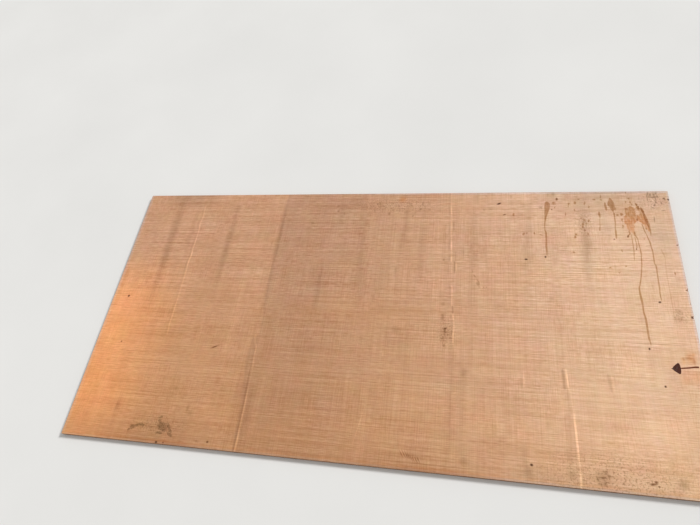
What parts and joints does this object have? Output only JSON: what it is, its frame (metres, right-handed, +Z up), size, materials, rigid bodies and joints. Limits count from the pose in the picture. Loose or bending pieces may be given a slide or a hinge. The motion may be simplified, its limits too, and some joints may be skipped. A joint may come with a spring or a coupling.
{
  "type": "plywood sheet",
  "caption": "Full rectangular sheet of veneered plywood, lying flat, good face up, with stepped veneer edges, core gaps and a weather-stained face.",
  "frame": {"origin": "centre of the underside, on the floor that the sheet lies on", "axes": "+X along the sheet's length and the grain of its faces, +Y across its width, +Z up out of the good face"},
  "size_m": [2.44, 1.22, 0.018],
  "materials": {
    "plywood": "bare sanded hardwood veneer, weather stained, straight grain along the length"
  },
  "bodies": {
    "root": {"plywood_sheet": "plywood"}
  },
  "joints": []
}
